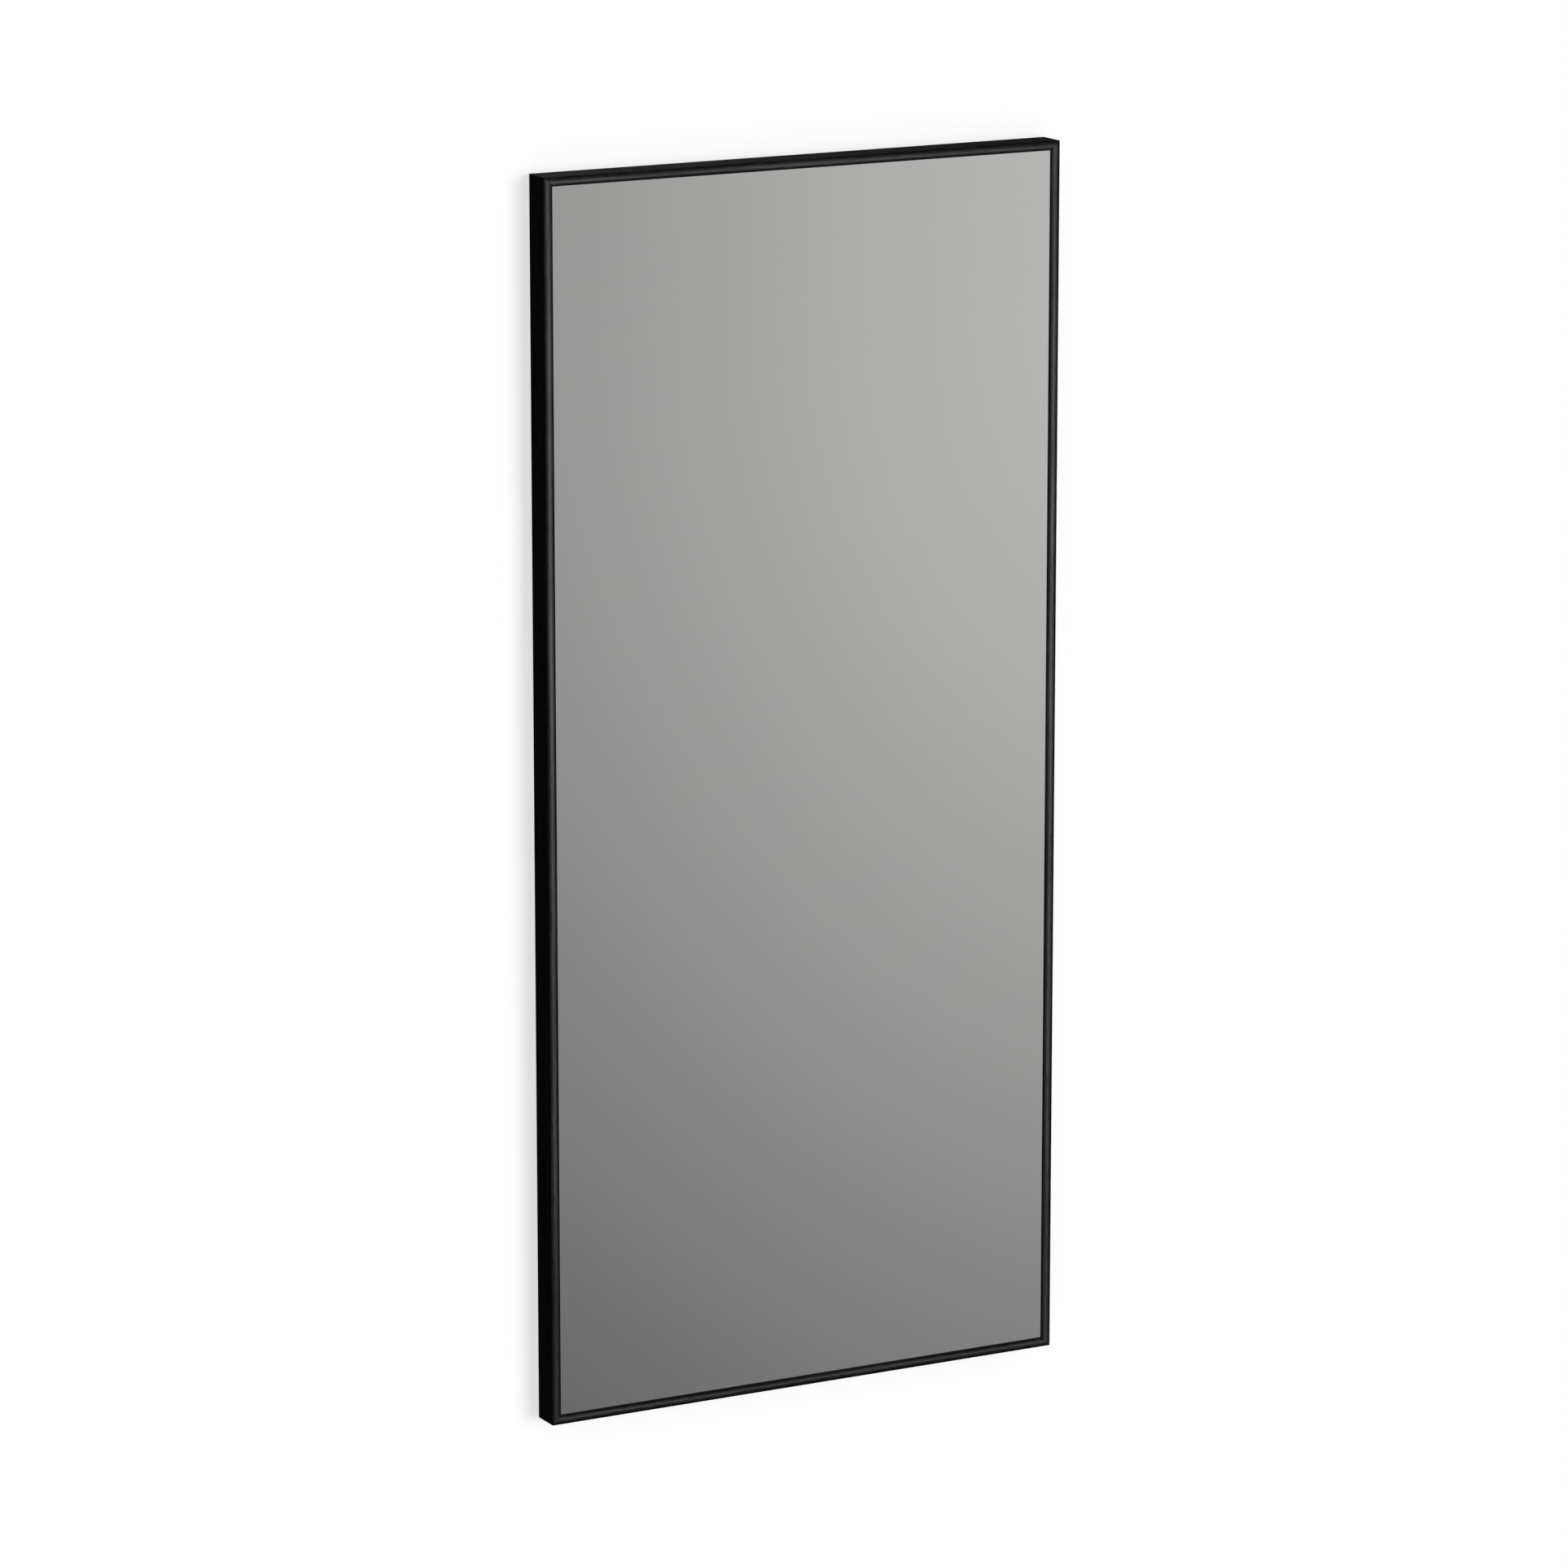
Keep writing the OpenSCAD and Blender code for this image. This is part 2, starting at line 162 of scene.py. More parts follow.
class MirrorColours(bpy.types.PropertyGroup):
    """Colours as sRGB hex"""

    anodised: tone("Anodised black", "Main tone of the dyed skin", "#313131")
    anodised_line: tone("Brush line", "Lighter brush lines in the skin", "#4F4F4E")
    silver: tone("Silver", "Silver seen through the glass", "#E8EAE9")
    backing_paint: tone("Backing paint", "Paint behind the silver", "#6C7275")
    # Painted highlight: the orange peel's crests are painted paler than the paint
    paint_peel: tone("Orange peel", "Paler crests in the paint", "#7A8083")
    film: tone("Safety film", "Film between the threads", "#C9D0D3")
    film_thread: tone("Film thread", "Threads in the film", "#E6EAEB")
    # Painted shade and highlight: the cells' walls are painted darker and their middles paler
    foam: tone("Foam", "Walls of the foam's cells", "#ECEBE6")
    foam_cell: tone("Foam cell", "Middles of the foam's cells", "#F4F3EF")
    board: tone("Hardboard", "Main tone of the board", "#6B472E")
    board_cloud: tone("Board cloud", "Darker clouds in the board", "#5A3A25")
    board_fibre: tone("Fibre", "Paler fibres in the board", "#8C6544")
    zinc: tone("Zinc", "Zinc plated pressings", "#B9BDC1")
    zinc_cloud: tone("Zinc cloud", "Colder clouds in the plating", "#A9AEB6")
    wire: tone("Wire", "Bright plated wire", "#CDD0D2")
    wire_mark: tone("Draw mark", "Darker draw marks in the wire", "#B6BABE")
    spring: tone("Blued steel", "Tempered spring strip", "#3C4654")
    spring_bronze: tone("Bronzed steel", "Where the blue drifts to bronze", "#5A5048")
    screw: tone("Blackened steel", "Set screws", "#2A2A2B")
    screw_oil: tone("Oiled steel", "Where the oil lies on the black", "#454547")
    rubber: tone("Rubber", "Bumpers and tape", "#1C1C1B")
    rubber_bloom: tone("Rubber bloom", "Where the rubber blooms", "#2B2B2A")
    # Painted shade: the tape's open cells are painted darker than the rubber
    tape_cell: tone("Tape cell", "Open cells in the tape's edge", "#0D0D0D")


class MirrorStudio(bpy.types.PropertyGroup):
    """Camera, lamps, wall and floor"""

    azimuth: radians("Azimuth", "Camera's turn round the mirror", math.radians(-28.27))
    elevation: radians("Elevation", "Camera's angle above the horizon", math.radians(12.67))
    distance: metres("Distance", "Camera to the front of the frame", 6.811)
    lens: millimetres("Lens", "Focal length on a 36 mm sensor", 163.7)
    aside: metres("Aside", "Camera's step to its right", -21.1 * MM)
    raised: metres("Raised", "Camera's step upwards", -0.5 * MM)
    floor_drop: metres("Floor drop", "Floor below the frame", 0.6)
    stage_size: metres("Stage size", "Half the width of wall and floor", 4)
    stage: tone("Stage", "Matt board of wall and floor", "#D2D2D2")
    wall_glow: plain("Wall glow", "Part of the wall's white that shadows leave", 0.59)
    floor_glow: plain("Floor glow", "Part of the floor's white that shadows leave", 0.9)
    wall_power: plain("Wall lamp", "Watts per square metre of the wall's own lamp", 1.15)
    key_power: watts("Key lamp", "Power of the wide soft lamp", 11.5)
    top_power: watts("Top lamp", "Power of the lamp above and behind", 20)
    rear_power: watts("Rear lamp", "Power of the lamp behind", 38)
    ambient: plain("Ambient", "Level of the studio's even light", 0.35)
    gloss: plain("Gloss", "Palest level of the studio that glass and metal show", 0.64)


# Small helpers


def linear(colour):
    """An sRGB hex colour as linear red, green, blue and alpha."""
    parts = [int(colour[i:i + 2], 16) / 255 for i in (1, 3, 5)]
    return [p / 12.92 if p <= 0.04045 else ((p + 0.055) / 1.055) ** 2.4 for p in parts] + [1.0]


def add(tree, kind, inputs=(), out=None, **settings):
    """Adds a node with its settings, sets or links its inputs, which are given by name or in
    their order, and returns one of its outputs."""
    made = tree.nodes.new(kind)
    for name, value in settings.items():
        setattr(made, name, value)
    for name, value in inputs.items() if isinstance(inputs, dict) else enumerate(inputs):
        socket = made.inputs[name] if isinstance(name, int) else next(
            s for s in made.inputs if s.enabled and s.name == name)
        for each in value if socket.is_multi_input else (value,):
            if isinstance(each, bpy.types.NodeSocket):
                tree.links.new(each, socket)
            else:
                socket.default_value = each
    shown = [s for s in made.outputs if s.enabled]
    return next(s for s in shown if out in (None, s.name)) if shown else None


def side_place(side):
    """From a side's own axes, X along it, Y its depth and Z inwards, to the model's."""
    across = HEIGHT if side in RAILS else WIDTH
    turn = Matrix.Rotation(-math.pi / 2 * SIDES.index(side), 4, "Y")
    return turn @ Matrix.Translation((0, CREST, -across / 2))


def length_of(side):
    """Outside length of a side."""
    return WIDTH if side in RAILS else HEIGHT


def slot_middle(section):
    """From the frame's outer face to the middle of the channel's slot."""
    return (section.wall + section.channel_width - section.web) / 2


def keep_piece(piece, slot, *nodes):
    """The piece rides on the mirror and stands for those nodes. The slot is not used."""
    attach(piece, BODY)
    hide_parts(*nodes)


def finish_node(name, material):
    """Gives a CAD node its material."""
    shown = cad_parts[name]
    shown.data.materials.clear()
    shown.data.materials.append(material)


def placed_object(name, data):
    """A new object in the scene."""
    made = bpy.data.objects.new(name, data)
    bpy.context.scene.collection.objects.link(made)
    return made


# Materials


def material_tree(name):
    """A material and its empty tree."""
    made = bpy.data.materials.new(name)
    made.use_nodes = True
    made.node_tree.nodes.clear()
    return made, made.node_tree


def finished(made, colour, rough, bump=None, metallic=0, span=(0.3, 0.7), more=(), **settings):
    """Ends a material and returns it. Its roughness is a number, or a pattern and the values at
    the ends of its span. Its bump is a height, a strength and a depth in millimetres, and the
    settings are the bump's."""
    tree = made.node_tree
    shader = {"Base Color": colour, "Metallic": metallic, "Roughness": rough, **dict(more)}
    if isinstance(rough, tuple):
        shader["Roughness"] = add(tree, "ShaderNodeMapRange", {
            "Value": rough[0], "From Min": span[0], "From Max": span[1],
            "To Min": rough[1], "To Max": rough[2]})
    if bump:
        shader["Normal"] = add(tree, "ShaderNodeBump", {
            "Height": bump[0], "Strength": bump[1], "Distance": bump[2] * MM}, **settings)
    surface = add(tree, "ShaderNodeBsdfPrincipled", shader)
    add(tree, "ShaderNodeOutputMaterial", {"Surface": surface})
    return made


def object_place(tree, *cell, turn=0.0):
    """Object coordinates turned about Y, then divided by a cell in millimetres, which is given
    as one size or along X, Y and Z."""
    return add(tree, "ShaderNodeMapping", {
        "Vector": add(tree, "ShaderNodeTexCoord", out="Object"),
        "Rotation": (0, -turn, 0),
        "Scale": [size * MM for size in (cell if len(cell) == 3 else cell * 3)]},
        vector_type="TEXTURE")


def toned(tree, pattern, span, first, second):
    """A colour that goes from one hex tone to another as a pattern goes through its span."""
    share = add(tree, "ShaderNodeMapRange", {
        "Value": pattern, "From Min": span[0], "From Max": span[1]})
    return add(tree, "ShaderNodeMix", {
        "Factor": share, "A": linear(first), "B": linear(second)}, data_type="RGBA")


def brushed_black_aluminium(colours):
    # Extruded aluminium, brushed lengthwise, then dyed black while it is anodised. The clear
    # hard skin keeps the brush lines, so the eye sees a satin black whose sheen breaks up
    # into fine lines and short flecks along each member. The real lines are 0.1 mm apart.
    # They are drawn 1.4 mm apart too, so that they show in a picture of the whole mirror.
    made, tree = material_tree("black_anodised_aluminium_brushed")
    # The map runs along each member and round its section
    patterns = []
    for along, around, detail in ((12, 1.4, 2), (40, 0.12, 1), (160, 6, 2)):
        place = add(tree, "ShaderNodeMapping", {
            "Vector": add(tree, "ShaderNodeUVMap", uv_map="length"),
            "Scale": (along * MM, around * MM, 1)}, vector_type="TEXTURE")
        patterns.append(add(tree, "ShaderNodeTexNoise", {
            "Vector": place, "Scale": 1, "Detail": detail}, "Fac"))
    flecks, lines, clouds = patterns
    marks = add(tree, "ShaderNodeMath", [flecks, lines], operation="ADD")
    skin = toned(tree, add(tree, "ShaderNodeMath", [marks, clouds], operation="ADD"),
                 (1.25, 1.75), colours.anodised, colours.anodised_line)
    return finished(made, skin, (flecks, 0.4, 0.5), (lines, 0.25, 0.02), metallic=1)


def silvered_float_glass(colours):
    # Clear float glass, silvered behind. The eye sees the silver as one flat bright mirror
    # with the faintest wave of drawn glass and a trace of wiping, so the glass and its
    # silver are drawn as one reflecting face with the glass as a clear coat.
    made, tree = material_tree("float_glass_silvered")
    wiping, waves = [add(tree, "ShaderNodeTexNoise", {
        "Vector": object_place(tree, *cell), "Scale": 1, "Detail": detail}, "Fac")
        for cell, detail in (((90, 90, 35), 3), ((300, 300, 120), 0))]
    return finished(
        made, linear(colours.silver), (wiping, 0.005, 0.03), (waves, 0.4, 0.05), metallic=1,
        span=(0.4, 0.8), more={"Coat Weight": 0.5, "Coat Roughness": 0.005})


def silver_and_backing_paint(colours):
    # Silver laid on the glass from solution, then grey lacquer, flow coated over it and
    # baked. In front it is a bright mirror. Behind it is matt with a slight orange peel,
    # whose crests are painted paler as a painted highlight.
    made, tree = material_tree("silver_layer_with_baked_lacquer")
    peel = add(tree, "ShaderNodeTexNoise", {
        "Vector": object_place(tree, 2), "Scale": 1, "Detail": 2}, "Fac")
    facing = add(tree, "ShaderNodeSeparateXYZ", {
        "Vector": add(tree, "ShaderNodeNewGeometry", out="Normal")}, "Y")
    front = add(tree, "ShaderNodeMath", [facing, -0.5], operation="LESS_THAN")
    colour = add(tree, "ShaderNodeMix", {
        "Factor": front,
        # The peel's crests take the paler tone, a painted highlight
        "A": toned(tree, peel, (0, 1), colours.backing_paint, colours.paint_peel),
        "B": linear(colours.silver)}, data_type="RGBA")
    return finished(made, colour, (front, 0.5, 0.01), (peel, 0.15, 0.03), metallic=front,
                    span=(0, 1))


def woven_safety_film(colours):
    # Polyethylene film over a woven scrim, about 4 mm from thread to thread. The threads
    # show as a pale raised net.
    made, tree = material_tree("safety_film_woven_polyethylene")
    # A wave pattern of scale 0.1 repeats after pi units, which are 3.95 mm here
    cell = 0.4 * math.pi
    place = object_place(tree, cell, 1000, cell)
    threads = [add(tree, "ShaderNodeTexWave", {"Vector": place, "Scale": 0.1},
                   "Fac", wave_type="BANDS", bands_direction=axis) for axis in ("X", "Z")]
    net = add(tree, "ShaderNodeMath", threads, operation="MAXIMUM")
    share = add(tree, "ShaderNodeMapRange", {"Value": net, "From Min": 0.8, "From Max": 1.0})
    colour = toned(tree, share, (0, 1), colours.film, colours.film_thread)
    return finished(made, colour, 0.35, (share, 0.5, 0.1))


def closed_cell_foam(colours):
    # Polyethylene foam sheet with closed cells of about 1 mm, extruded and skinned. It looks
    # like a pale, dull skin of small bubbles. The walls between the cells are painted darker
    # as painted shade, and their middles paler as a painted highlight.
    made, tree = material_tree("polyethylene_foam_sheet")
    cells = add(tree, "ShaderNodeTexVoronoi", {
        "Vector": object_place(tree, 1.1), "Scale": 1}, "Distance")
    # Painted shade in the walls between cells and a painted highlight on their middles
    colour = toned(tree, cells, (0, 1), colours.foam_cell, colours.foam)
    return finished(made, colour, 0.7, (cells, 0.4, 0.2), invert=True)


def pressed_hardboard(colours):
    # Wood fibre pressed hot into a hard sheet, with its smooth face outwards. It is mid brown
    # with a waxy sheen, cloudy over some centimetres, and pale and dark fibres about 0.4 mm
    # thick and 6 mm long lie in it every way.
    made, tree = material_tree("hardboard_hot_pressed")
    clouds = add(tree, "ShaderNodeTexNoise", {
        "Vector": object_place(tree, 45), "Scale": 1, "Detail": 4}, "Fac")
    crossed = 0
    for turn in (0.3, 1.35, 2.4):
        fibres = add(tree, "ShaderNodeTexNoise", {
            "Vector": object_place(tree, 6, 3, 0.5, turn=turn), "Scale": 1, "Detail": 2,
            "Roughness": 0.6}, "Fac")
        crossed = add(tree, "ShaderNodeMath", [crossed, fibres], operation="MAXIMUM")
    pale = add(tree, "ShaderNodeMapRange", {
        "Value": crossed, "From Min": 0.55, "From Max": 0.85, "To Max": 0.55})
    colour = add(tree, "ShaderNodeMix", {
        "Factor": pale,
        "A": toned(tree, clouds, (0.3, 0.7), colours.board_cloud, colours.board),
        "B": linear(colours.board_fibre)}, data_type="RGBA")
    return finished(made, colour, (clouds, 0.42, 0.6), (crossed, 0.35, 0.1))


def zinc_plated_pressing(colours):
    # Mild steel, pressed and then zinc plated in a barrel. The plating is pale with a cold
    # cast, cloudy over a few millimetres, and carries short tumbling marks.
    made, tree = material_tree("zinc_plated_steel_pressed")
    clouds, marks = [add(tree, "ShaderNodeTexNoise", {
        "Vector": object_place(tree, *cell), "Scale": 1, "Detail": detail}, "Fac")
        for cell, detail in (((5, 5, 5), 3), ((1.2, 0.25, 0.25), 2))]
    colour = toned(tree, clouds, (0.3, 0.7), colours.zinc_cloud, colours.zinc)
    return finished(made, colour, (marks, 0.32, 0.4), (marks, 0.08, 0.03), metallic=1)


def bright_plated_wire(colours):
    # Drawn steel wire and turned screws, bright zinc plated. The sheen is sharper than on
    # the pressings, with a few fine draw marks.
    made, tree = material_tree("bright_zinc_plated_wire_drawn")
    marks = add(tree, "ShaderNodeTexNoise", {
        "Vector": object_place(tree, 0.4, 0.4, 1.5), "Scale": 1, "Detail": 2}, "Fac")
    colour = toned(tree, marks, (0, 1), colours.wire_mark, colours.wire)
    return finished(made, colour, (marks, 0.19, 0.24), metallic=1)


def blued_spring_steel(colours):
    # Hardened strip, tempered to a blue oxide. The blue drifts towards bronze over a
    # centimetre or so, and the rolled strip keeps a fine sheen.
    made, tree = material_tree("spring_steel_blued")
    drift = add(tree, "ShaderNodeTexNoise", {
        "Vector": object_place(tree, 12), "Scale": 1, "Detail": 2}, "Fac")
    colour = toned(tree, drift, (0.4, 0.75), colours.spring, colours.spring_bronze)
    return finished(made, colour, 0.32, metallic=1)


def blackened_steel(colours):
    # Cut and hardened steel with an oiled black oxide. It is dark grey with a dull oily
    # sheen that varies over a millimetre.
    made, tree = material_tree("steel_black_oxide_oiled")
    oil = add(tree, "ShaderNodeTexNoise", {
        "Vector": object_place(tree, 1), "Scale": 1, "Detail": 3}, "Fac")
    colour = toned(tree, oil, (0, 1), colours.screw, colours.screw_oil)
    return finished(made, colour, (oil, 0.35, 0.55), metallic=1)


def moulded_rubber(colours):
    # Black rubber, compression moulded in a blasted tool. It is dull, a little paler where
    # it blooms, with a grain of about 0.3 mm.
    made, tree = material_tree("black_rubber_moulded")
    pits, bloom = [add(tree, "ShaderNodeTexNoise", {
        "Vector": object_place(tree, cell), "Scale": 1, "Detail": 2}, "Fac")
        for cell in (0.35, 6)]
    colour = toned(tree, bloom, (0.4, 0.7), colours.rubber, colours.rubber_bloom)
    return finished(made, colour, 0.62, (pits, 0.35, 0.05))


def black_foam_tape(colours):
    # Black polyethylene foam tape, slit from a roll. Its cut edge is dull with open cells
    # of about 0.3 mm, which are painted darker as painted shade in their pits.
    made, tree = material_tree("black_foam_tape_slit")
    cells = add(tree, "ShaderNodeTexVoronoi", {
        "Vector": object_place(tree, 0.3), "Scale": 1}, "Distance")
    # The pits of the open cells take the darker tone, a painted shade
    colour = toned(tree, cells, (0, 1), colours.tape_cell, colours.rubber)
    return finished(made, colour, 0.85, (cells, 0.4, 0.08))


# Frame members


def eased(corners, steps):
    """Rounds the corners of an outline that runs anticlockwise, each given as u, v and radius.
    Returns its points, each with the way that the outline faces there."""
    points = []
    for before, corner, after in zip(
            corners[-1:] + corners[:-1], corners, corners[1:] + corners[:1]):
        at, radius = Vector(corner[:2]), corner[2]
        back = (Vector(before[:2]) - at).normalized()
        on = (Vector(after[:2]) - at).normalized()
        first, second = [Vector((edge.y, -edge.x)) for edge in (-back, on)]
        if not radius:
            points.append((at, (first + second).normalized()))
            continue
        half = back.angle(on) / 2
        turn = math.pi - 2 * half
        centre = at + (back + on).normalized() * radius / math.sin(half)
        way = 1 if (at - centre).dot(first) > 0 else -1
        for step in range(steps + 1):
            share = step / steps
            normal = (first * math.sin((1 - share) * turn)
                      + second * math.sin(share * turn)) / math.sin(turn)
            points.append((centre + normal * radius * way, normal))
    return points


def section_outline(size):
    """The section's outline, u from the outer face inwards and v in depth from the crest."""
    wide, rise, wall, inner_face = size.bead_width, size.bead_rise, size.wall, size.channel_width
    shelf, ledge = size.shelf, size.ledge
    radius = (wide * wide / 4 + rise * rise) / (2 * rise)
    reach = math.asin(wide / 2 / radius)
    front = []
    for step in range(size.bead_steps + 1):
        angle = reach * (2 * step / size.bead_steps - 1)
        front.append([wide / 2 + radius * math.sin(angle), radius - radius * math.cos(angle), 0])
    front[0][2] = size.outer_radius
    front[-1][2] = size.inner_radius
    lip_back = rise + size.lip
    front_in, back_in, side_in = shelf + size.web, ledge - size.web, inner_face - size.web
    near = slot_middle(size) - size.slot / 2
    far = near + size.slot
    rest = [
        (wide, lip_back), (wall, lip_back), (wall, shelf), (inner_face, shelf),
        (inner_face, ledge), (far, ledge), (far, back_in), (side_in, back_in),
        (side_in, front_in), (wall, front_in), (wall, back_in), (near, back_in),
        (near, ledge), (wall, ledge), (wall, size.depth)]
    back = [[0, size.depth, size.outer_radius]]
    return eased(front + [[u, v, size.inner_radius] for u, v in rest] + back, steps=4)


def frame_member(side, size, material):
    """One length of the section with mitred ends and a map that runs along it."""
    outline = section_outline(size)
    count = len(outline)
    half = length_of(side) / 2
    place = side_place(side)
    turn = place.to_3x3()
    girth = [0]
    for (first, _), (second, _) in zip(outline, outline[1:] + outline[:1]):
        girth.append(girth[-1] + (second - first).length)

    # A ring at each share of the half length. The first and the last are drawn in by the
    # mitre's ease and stand out past their neighbours, which breaks the mitre's edge.
    shares = [-1] + [i / 4 - 1 for i in range(9)] + [1]
    last = len(shares) - 1
    points = []
    for ring, share in enumerate(shares):
        drawn_in, short = (1, 0.1) if ring in (0, last) else (0, 1.5)
        for at, normal in outline:
            u, v = at - normal * drawn_in * size.mitre_ease
            points.append(Vector((share * (half - u - short * size.mitre_ease), v, u)))

    faces, normals, maps = [], [], []

    def add_face(corners):
        """Adds a face, each corner given as its point, its normal and its place on the girth."""
        faces.append([point for point, _, _ in corners])
        for point, normal, around in corners:
            normals.append(turn @ normal.normalized())
            maps.append((points[point].x + half, around))

    for ring in range(last):
        slope = {0: -0.7, last - 1: 0.7}.get(ring, 0)
        for i in range(count):
            j = (i + 1) % count
            add_face([
                ((ring + step) * count + k,
                 Vector((slope, outline[k][1].y, outline[k][1].x)), girth[mark])
                for step, k, mark in ((1, i, i), (1, j, i + 1), (0, j, i + 1), (0, i, i))])
    for ring, way in ((0, -1), (last, 1)):
        end = [(k, Vector((way, 0, 1)), points[k].y)
               for k in range(ring * count, (ring + 1) * count)]
        add_face(end[::-way])

    name = "frame_" + MEMBERS[side]
    mesh = bpy.data.meshes.new(name)
    mesh.from_pydata([place @ p for p in points], [], faces)
    # Each member has its own stretch of the map, so that no two have the same marks
    start = 2 * SIDES.index(side)
    for loop, (along, around) in zip(mesh.uv_layers.new(name="length").data, maps):
        loop.uv = (start + along, around)
    mesh.polygons.foreach_set("use_smooth", [True] * len(mesh.polygons))
    mesh.normals_split_custom_set(normals)
    mesh.materials.append(material)
    return placed_object(name, mesh)


# What repeats


def repeating_tree(shape, sizes, material, tip):
    """A Geometry Nodes tree with an input for each size, which puts the shape on every place,
    tipped about X and then turned about Y, by chance or as the places' attribute says."""
    tree = bpy.data.node_groups.new(shape.__name__, "GeometryNodeTree")
    tree.interface.new_socket("Places", in_out="INPUT", socket_type="NodeSocketGeometry")
    for size, value in sizes.items():
        kind = "NodeSocketInt" if isinstance(value, int) else "NodeSocketFloat"
        tree.interface.new_socket(size, in_out="INPUT", socket_type=kind)
    tree.interface.new_socket("Pieces", in_out="OUTPUT", socket_type="NodeSocketGeometry")
    start = tree.nodes.new("NodeGroupInput")
    inputs = {socket.name: socket for socket in start.outputs if socket.name}
    if "Seed" in inputs:
        about = add(tree, "FunctionNodeRandomValue", {
            "Min": 0.0, "Max": math.pi, "Seed": inputs["Seed"]}, "Value")
    else:
        about = add(tree, "GeometryNodeInputNamedAttribute", {"Name": "turn"}, "Attribute")
    placed = add(tree, "GeometryNodeInstanceOnPoints", {
        "Points": inputs["Places"],
        "Instance": shape(tree, inputs),
        "Rotation": add(tree, "ShaderNodeCombineXYZ", [tip, about])})
    real = add(tree, "GeometryNodeRealizeInstances", {"Geometry": placed})
    skinned = add(tree, "GeometryNodeSetMaterial", {"Geometry": real, "Material": material})
    add(tree, "NodeGroupOutput", {"Pieces": skinned})
    return tree


def repeated(name, shape, sizes, places, material, tip=0.0, turns=None):
    """Runs the shape's tree on the places and keeps what it makes as a plain mesh."""
    tree = repeating_tree(shape, sizes, material, tip)
    seeds = bpy.data.meshes.new(name + "_places")
    seeds.from_pydata(places, [], [])
    if turns:
        seeds.attributes.new("turn", "FLOAT", "POINT").data.foreach_set("value", turns)
    holder = placed_object(name + "_places", seeds)
    modifier = holder.modifiers.new(name, "NODES")
    modifier.node_group = tree
    for item in tree.interface.items_tree:
        if item.in_out == "INPUT" and item.name in sizes:
            modifier[item.identifier] = sizes[item.name]
    graph = bpy.context.evaluated_depsgraph_get()
    mesh = bpy.data.meshes.new_from_object(holder.evaluated_get(graph), depsgraph=graph)
    bpy.data.objects.remove(holder)
    bpy.data.meshes.remove(seeds)
    if not mesh.polygons:
        raise RuntimeError(name + " came out empty")
    shell = bmesh.new()
    shell.from_mesh(mesh)
    bmesh.ops.remove_doubles(shell, verts=shell.verts, dist=1e-7)
    bmesh.ops.recalc_face_normals(shell, faces=shell.faces)
    shell.to_mesh(mesh)
    shell.free()
    mesh.name = name
    mesh.polygons.foreach_set("use_smooth", [True] * len(mesh.polygons))
    mesh.set_sharp_from_angle(angle=math.radians(32))
    return placed_object(name, mesh)


def turned(tree, inputs, steps):
    """A turned disc or pin from zero up to its height, with its upper rim rounded."""
    size = add(tree, "ShaderNodeCombineXYZ", [inputs["Radius"], inputs["Height"]])
    # The profile hangs from the circle it runs along. Its third corner becomes the rim.
    corners = {f"Point {number}": add(tree, "ShaderNodeVectorMath", [size, way],
                                      operation="MULTIPLY")
               for number, way in enumerate(((-1, 0, 0), (0, 0, 0), (0, -1, 0), (-1, -1, 0)), 1)}
    third = add(tree, "ShaderNodeMath", [add(tree, "GeometryNodeInputIndex"), 2, 0.5],
                operation="COMPARE")
    profile = add(tree, "GeometryNodeFilletCurve", {
        "Curve": add(tree, "GeometryNodeCurvePrimitiveQuadrilateral", corners, mode="POINTS"),
        "Radius": add(tree, "ShaderNodeMath", [third, inputs["Rim"]], operation="MULTIPLY"),
        "Count": steps}, mode="POLY")
    path = add(tree, "GeometryNodeSetCurveNormal", {
        "Curve": add(tree, "GeometryNodeCurvePrimitiveCircle", {
            "Radius": inputs["Radius"], "Resolution": 72}, mode="RADIUS")}, mode="Z_UP")
    spun = add(tree, "GeometryNodeCurveToMesh", {"Curve": path, "Profile Curve": profile})
    return add(tree, "GeometryNodeMergeByDistance", {"Geometry": spun, "Distance": 1e-6})


